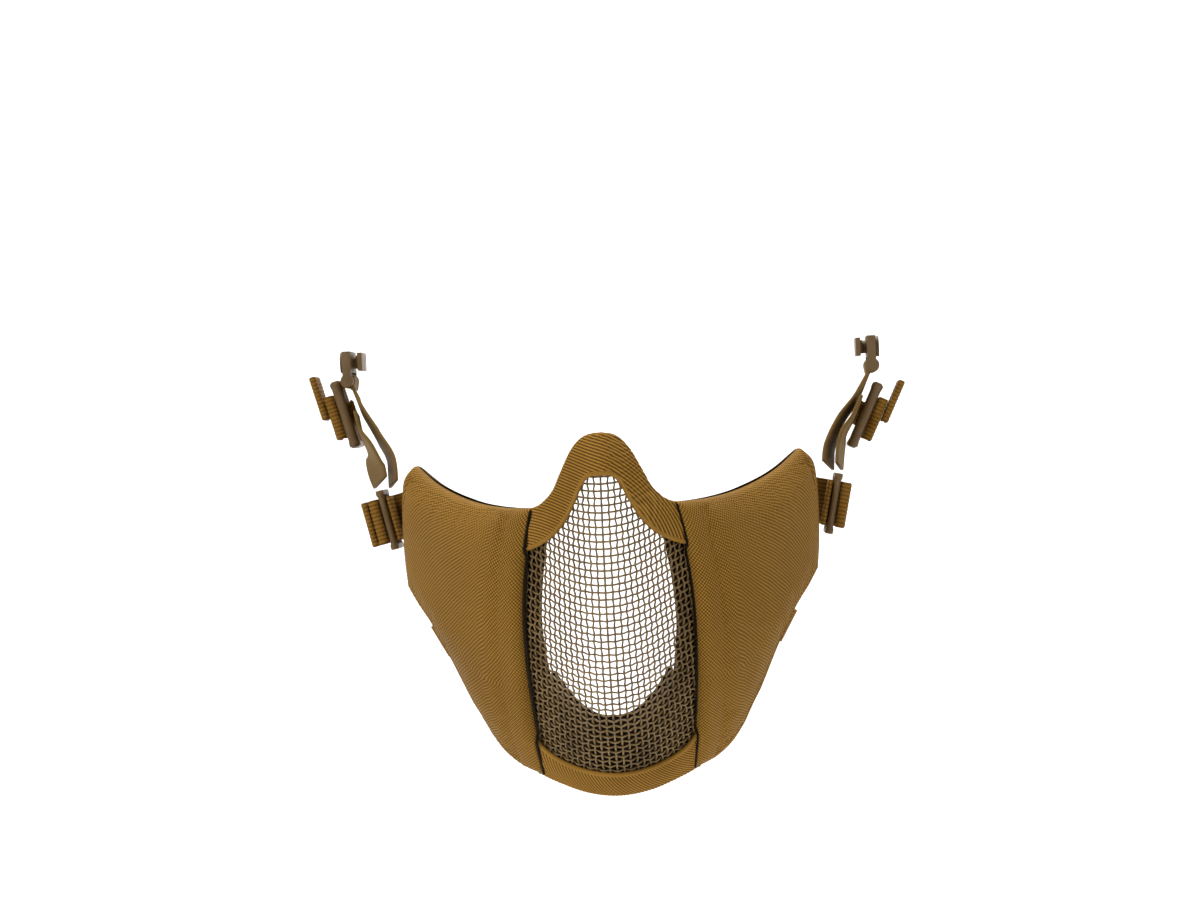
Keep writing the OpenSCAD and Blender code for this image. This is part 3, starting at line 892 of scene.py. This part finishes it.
def flat_path(local, points):
    """A path in a slider's x, y plane, at even spacing, in the mask's frame."""
    points = resample(points, PATH_STEP)
    return local.point(np.concatenate([points, np.zeros((len(points), 1))], axis=1))


def bar_direction(local):
    """Unit vector along a slider's bars, in the mask's frame."""
    return local.point([0, 0, 1.0]) - local.point([0, 0, 0.0])


def arc(cx, cy, r, start, end, n=24):
    """Points of an arc, angles in degrees."""
    a = np.radians(np.linspace(start, end, n))
    return np.stack([cx + r * np.cos(a), cy + r * np.sin(a)], -1).tolist()


def fold_path(x0, x1, front_y, tail_y, thick):
    """A ply that comes forward, turns round and goes back."""
    r = (x1 - x0 - thick) / 2
    cx = (x0 + x1) / 2
    return [[cx - r, tail_y]] + arc(cx, front_y + r + thick / 2, r, 180, 360) + [[cx + r, tail_y]]


def fold(name, body, node, local, place, thick=WEB_T, shift=0.0):
    """Webbing folded round the front of a slider; place is its x0, x1, front_y and tail_y."""
    made = Builder()
    path = flat_path(local, fold_path(*place, thick)) + shift * bar_direction(local)
    strip(made, path, bar_direction(local), local.sign > 0, thick=thick)
    finish_piece(made.build(name), body, "webbing", node)


def bar_loop_path(leg, r_mid):
    """Comes along the leg, goes round the rear bar and returns to lie on the leg."""
    round_bar = arc(0, REAR_BAR_Y, r_mid, 180, 180 - 325, 40)
    return leg[::-1] + round_bar


def loop(name, body, node, local, leg, width):
    """Webbing from the end of a leg to a slider's rear bar, round the bar and back on to the leg."""
    made = Builder()
    path = flat_path(local, bar_loop_path(leg, BAR_R + PIN_FIT + WEB_T / 2))
    strip(made, path, bar_direction(local), local.sign < 0, width=width, ribs=round(width / WEB_W * RIBS))
    finish_piece(made.build(name), body, "webbing", node)


# stations of the strap's plies: x, y, z and the turn of the width from the fore-and-aft line
INNER_PATH = {
    "left": [[82.2, 15, 42.5, 14], [83, 17, 52.5, 14], [87.4, 20, 61.2, 12], [93.4, 25, 71.5, 8],
             [96.4, 28, 79, 3]],
    "right": [[82.2, 15, 41.2, 14], [83.4, 17, 49.5, 14], [87.6, 20, 58.5, 12], [94.2, 25, 67.3, 8],
              [99, 28, 75.6, 3]],
}
OUTER_PATH = {
    "left": [[95.6, 21, 70.5, 3], [94, 20, 63, 5], [90.6, 17, 56, 16], [88.8, 17, 49.6, 27],
             [87.2, 16, 44.0, 24]],
    "right": [[95.5, 21, 66.2, 3], [92.4, 19, 60, 5], [88.8, 17, 54, 9], [87.3, 16, 48, 10],
              [86.5, 15, 42, 9]],
}
STRAP_START = {"left": 0.03, "right": 0.06}
CLIP_AT = {"left": [98.2, 28, 83.1], "right": [100.8, 28, 79.7]}
CLIP_BAR_R = 1.4


def ply(name, body, node, side, stations, start=0.0):
    """A strap ply through its stations; start is how far along it begins, clear of the swinging slider."""
    sign = SIDES[side]
    q = along(stations, np.linspace(start, 1, 90))
    path, turn = q[:, :3].copy(), np.radians(q[:, 3])
    across = np.stack([np.sin(turn), np.cos(turn), 0 * turn], -1)
    path[:, 0] *= sign
    across[:, 0] *= sign
    made = Builder()
    strip(made, path, across, sign < 0, depth=SMOOTH_GROOVE)
    finish_piece(made.build(name), body, "webbing", node, look="webbing_back")


def top_loop(side):
    """The strap's upper end, round the bar of the rail clip."""
    centre, tip = np.array(CLIP_AT[side], float), np.array(INNER_PATH[side][-1][:3], float)
    r = CLIP_BAR_R + PIN_FIT + WEB_T / 2
    drop_to_tip = tip - centre
    reach = np.hypot(drop_to_tip[0], drop_to_tip[2])
    start = np.degrees(atan2(drop_to_tip[2], drop_to_tip[0])) % 360 - np.degrees(np.arccos(r / reach))
    ring = np.array(arc(0, 0, r, start, start - 290, 40))
    ring = np.concatenate([[0.85 * drop_to_tip[[0, 2]]], ring])
    path = resample(ring, 0.4)
    path = centre + np.stack([path[:, 0], 0 * path[:, 0], path[:, 1]], -1)
    path[:, 0] *= SIDES[side]
    made = Builder()
    strip(made, path, [0, 1, 0], side == "right", depth=SMOOTH_GROOVE)
    finish_piece(made.build(side + "_top_loop"), side + "_strap", "webbing", side + "_strap_top_loop",
                 look="webbing_back")


def lower_tab(side):
    """Folded end of webbing that peeps out of the seam at the low rear edge of a panel."""
    high, low = np.array([65, -8.7]), np.array([58.6, -19.6])
    half_thick, sunk, ribs = 1.05, -1.2, 13
    away = unit([high[1] - low[1], low[0] - high[0]])
    at = np.linspace(0, 1, 64)[:, None]
    start = high * (1 - at) + low * at
    turn = np.linspace(pi / 2, -pi / 2, 9)
    reach = np.concatenate([[sunk, 0.2], 1.65 + half_thick * np.cos(turn), [0.2, sunk]])
    lift = half_thick * np.concatenate([[1, 1], np.sin(turn), [-1, -1]])
    rib = at * ribs
    reach = reach[None] - 0.12 * (0.5 + 0.5 * np.cos(2 * pi * rib)) * (reach[None] > 0.5)
    x = start[:, 0:1] + away[0] * reach
    z = start[:, 1:2] + away[1] * reach
    points = shell(x, z, np.broadcast_to(lift, x.shape))
    points[..., 0] *= SIDES[side]
    uv = np.stack(np.broadcast_arrays(rib - 0.25, reach), -1)
    uv = np.concatenate([uv, uv[:, :1]], axis=1)
    made = Builder().grid(points, uv, wrap=True, caps=True, flip=side == "left")
    finish_piece(made.build(side + "_sewn_tab"), "root", "webbing", side + "_lower_tab")


# ---------------------------------------------------------------- moulded frames
WELD_REACH = 0.00002
SHARP_ANGLE = 40


def rounded_copy(name, body, node, radius):
    """A moulded CAD piece with its sharp rims rounded off."""
    mesh = frame["nodes"][node].data.copy()
    obj = bpy.data.objects.new(name, mesh)
    bpy.context.scene.collection.objects.link(obj)
    weld = obj.modifiers.new("weld", "WELD")
    weld.merge_threshold = WELD_REACH
    bevel = obj.modifiers.new("bevel", "BEVEL")
    bevel.width = radius * MM
    bevel.segments = 3
    bevel.limit_method = "ANGLE"
    bevel.angle_limit = radians(SHARP_ANGLE)
    bevel.use_clamp_overlap = True
    bpy.context.view_layer.update()
    rounded = bpy.data.meshes.new_from_object(obj.evaluated_get(bpy.context.evaluated_depsgraph_get()))
    obj.modifiers.clear()
    obj.data = rounded
    rounded.polygons.foreach_set("use_smooth", [True] * len(rounded.polygons))
    finish_piece(obj, body, "clip_plastic", node)


def rounded_slab(builder, outline, z0, z1, bevel, to_world, flip):
    """A slab of a closed outline with rounded rims; outline is n x 2, to_world maps local points."""
    outline = np.asarray(outline, float)
    tangent = np.roll(outline, -1, 0) - np.roll(outline, 1, 0)
    inward = unit(np.stack([-tangent[:, 1], tangent[:, 0]], -1))
    steps = [[bevel, 0], [0.62 * bevel, 0.08 * bevel], [0.29 * bevel, 0.29 * bevel],
             [0.08 * bevel, 0.62 * bevel], [0, bevel]]
    rings = [(inset, z0 + rise) for inset, rise in steps]
    rings += [(inset, z1 - rise) for inset, rise in steps[::-1]]
    points = np.stack([np.concatenate([outline + inward * inset, np.full((len(outline), 1), z)], axis=1)
                       for inset, z in rings])
    builder.grid(to_world(points), None, wrap=True, caps=True, flip=flip)


def stadium(a, b, r, n=16):
    """Closed outline round two points, anticlockwise."""
    a, b = np.asarray(a, float), np.asarray(b, float)
    angle = atan2(b[1] - a[1], b[0] - a[0]) * 180 / pi
    far = arc(b[0], b[1], r, angle - 90, angle + 90, n)
    near = arc(a[0], a[1], r, angle + 90, angle + 270, n)
    return np.array(far + near)


def slider_frame(name, body, node, local, height, front_r):
    """Two end rails and three round bars, moulded in one."""
    rail_t, frame_t, rim, bar_sides = 2.2, 3.2, 0.5, 20
    made = Builder()
    outline = stadium([0, FRONT_BAR_Y], [0, REAR_BAR_Y + 1], frame_t / 2)
    for end in (-1, 1):
        mid = end * (height - rail_t) / 2
        rounded_slab(made, outline, mid - rail_t / 2, mid + rail_t / 2, rim, local.point, local.sign < 0)
    z = np.linspace(-height / 2 + 0.6, height / 2 - 0.6, 40)
    flare = np.minimum(0.35 * np.maximum(0, np.abs(z) - (height / 2 - rail_t - 0.6)), 0.25)
    outwards = np.tile(local.point([1.0, 0, 0]) - local.point([0.0, 0, 0]), (len(z), 1))
    for y, r in ((FRONT_BAR_Y, front_r), (0, BAR_R), (REAR_BAR_Y, BAR_R)):
        path = local.point(np.stack([0 * z, 0 * z + y, z], -1))
        tube(made, path, r + flare, bar_sides, outwards)
    finish_piece(made.build(name), body, "slider_plastic", node)


# ---------------------------------------------------------------- the mask
ANCHOR_LEG = [[-6.6, 2], [-13.6, -8.5], [-23, -25.1]]
KEEPER_W = 10
LOWER_HEIGHT, LOWER_FRONT_R = 23, 1.15
UPPER_HEIGHT, UPPER_FRONT_R = 26.5, 1.9
LOWER_WIDE = (1.6, 5.6, -10.2, 4.4)
LOWER_NARROW = (-3.6, -1.7, -10.4, 2.4)
LOWER_END = (5.8, 8.3, -9.2, 8)
UPPER_WIDE = (2.1, 6.2, -10.2, 4.4)
UPPER_END = (6.5, 9.2, -9.4, 8)
UPPER_END_RAISED = 9
CLIP_ROUNDING = 0.35


def lower_slider(side):
    local, body = lower_frame(side), side + "_lower_slider"
    loop(side + "_anchor_strip", "root", side + "_anchor_webbing", local, ANCHOR_LEG, WEB_W)
    fold(side + "_lower_wide_fold", body, side + "_lower_fold_outer", local, LOWER_WIDE)
    fold(side + "_lower_narrow_fold", body, side + "_lower_fold_inner", local, LOWER_NARROW, thick=0.9)
    slider_frame(body + "_body", body, body + "_frame", local, LOWER_HEIGHT, LOWER_FRONT_R)
    if side == "left":
        fold("left_lower_end_fold", body, "left_lower_tail", local, LOWER_END, thick=1.2)


def upper_slider(side):
    local, body = upper_frame(side), side + "_upper_slider"
    fold(side + "_upper_wide_fold", body, side + "_upper_fold", local, UPPER_WIDE)
    fold(side + "_upper_end_fold", body, side + "_upper_tail", local, UPPER_END, 1.3, UPPER_END_RAISED)
    slider_frame(body + "_body", body, body + "_frame", local, UPPER_HEIGHT, UPPER_FRONT_R)


def strap(side):
    body = side + "_strap"
    keeper_leg = [[-3.0, 2], KEEPER_END[side]]
    loop(side + "_keeper_strip", body, side + "_upper_keeper", upper_frame(side), keeper_leg, KEEPER_W)
    ply(side + "_inner_strap", body, body + "_inner_ply", side, INNER_PATH[side], STRAP_START[side])
    ply(side + "_outer_strap", body, body + "_outer_ply", side, OUTER_PATH[side])
    top_loop(side)


def rail_clip(side):
    for part, body in (("body", "rail_clip"), ("foot", "rail_foot"), ("button", "rail_button")):
        rounded_copy(side + "_clip_" + part, side + "_" + body, side + "_rail_clip_" + part, CLIP_ROUNDING)


woven_screen()
binding("nose_tape", "nose_binding", NOSE_INNER, NOSE_OUTER, NOSE_RIB_CENTRE, NOSE_RIB_PITCH, True)
binding("chin_tape", "chin_binding", CHIN_INNER, CHIN_OUTER, CHIN_RIB_CENTRE, CHIN_RIB_PITCH, False)
chin_lining()
for side in SIDES:
    side_cover(side)
    side_lining(side)
    shadow_edge_strip(side)
    lower_tab(side)
    lower_slider(side)
    upper_slider(side)
    strap(side)
    rail_clip(side)

for node_name, obj in frame["nodes"].items():
    slot = next(p["material_slot"] for p in frame["record"]["subparts"] if p["node"] == node_name)
    obj.data.materials.clear()
    obj.data.materials.append(MATERIALS[slot])

# ---------------------------------------------------------------- stage, light and camera
CAMERA_DISTANCE = 1400
CAMERA_FOCUS_Y = -94
VIEW_YAW = 2.0
VIEW_ROLL = 2.7
SENSOR = 36.0
LENS = 112.29
AXIS_Z = 52.4
AXIS_X = 0.4


def stage():
    """A pale floor that curves up into a backdrop."""
    floor_z, back_y, front_y, bend, top = -320.0, 900.0, -2600.0, 500.0, 2600.0
    turn = np.linspace(-pi / 2, 0, 24)
    profile = [[front_y, floor_z]] + [[back_y + bend * cos(a), floor_z + bend + bend * sin(a)] for a in turn]
    profile += [[back_y + bend, top]]
    xs = np.linspace(-2600.0, 2600.0, 3)
    points = np.array([[[x, y, z] for x in xs] for y, z in profile])
    obj = Builder().grid(points).build("backdrop_sweep")
    obj.data.materials.append(backdrop_paint())


def area_light(name, at, aim, size, power):
    light = bpy.data.lights.new(name, "AREA")
    light.shape = "RECTANGLE"
    light.size, light.size_y = size
    light.energy = power
    obj = bpy.data.objects.new(name, light)
    obj.location = Vector(at)
    obj.rotation_euler = (Vector(aim) - Vector(at)).to_track_quat("-Z", "Y").to_euler()
    bpy.context.scene.collection.objects.link(obj)


def lights():
    """Even light all round, a key from the upper left, two weaker lights and a wash on the backdrop."""
    world = bpy.data.worlds.new("studio")
    world.use_nodes = True
    world.node_tree.nodes["Background"].inputs[0].default_value = (1, 1, 1, 1)
    world.node_tree.nodes["Background"].inputs[1].default_value = 0.36
    bpy.context.scene.world = world
    aim = (0, 0, 0)
    area_light("key", (-1.0, -1.2, 1.35), aim, (0.8, 0.8), 18)
    area_light("fill", (1.1, -1.2, 0.5), aim, (1.2, 1.2), 3.5)
    area_light("top", (0, -0.2, 1.5), aim, (1.4, 1.0), 1)
    area_light("back_wash", (0, 0.5, 1.4), (0, 1.4, 0.2), (2.0, 0.8), 40)


def camera():
    """The photograph's view: a long lens from in front, a little turned and tilted."""
    data = bpy.data.cameras.new("photo_camera")
    data.sensor_width = SENSOR
    data.lens = LENS
    data.clip_start, data.clip_end = 0.05, 20
    obj = bpy.data.objects.new("photo_camera", data)
    bpy.context.scene.collection.objects.link(obj)
    yaw, roll = radians(VIEW_YAW), radians(VIEW_ROLL)
    look = Vector((-sin(yaw), cos(yaw), 0))
    right = Vector((cos(yaw), sin(yaw), 0))
    pivot = Vector((0, CAMERA_FOCUS_Y, 0)) * MM
    level = (right * AXIS_X + Vector((0, 0, AXIS_Z))) * MM
    at = pivot + level - look * (CAMERA_DISTANCE + CAMERA_FOCUS_Y) * MM
    up = Vector((0, 0, 1)) * cos(roll) + right * sin(roll)
    side_axis = look.cross(up)
    basis = Matrix((side_axis, up, -look)).transposed()
    obj.matrix_world = Matrix.Translation(at) @ basis.to_4x4()
    bpy.context.scene.camera = obj


stage()
lights()
camera()
bpy.context.scene.view_settings.view_transform = "Standard"
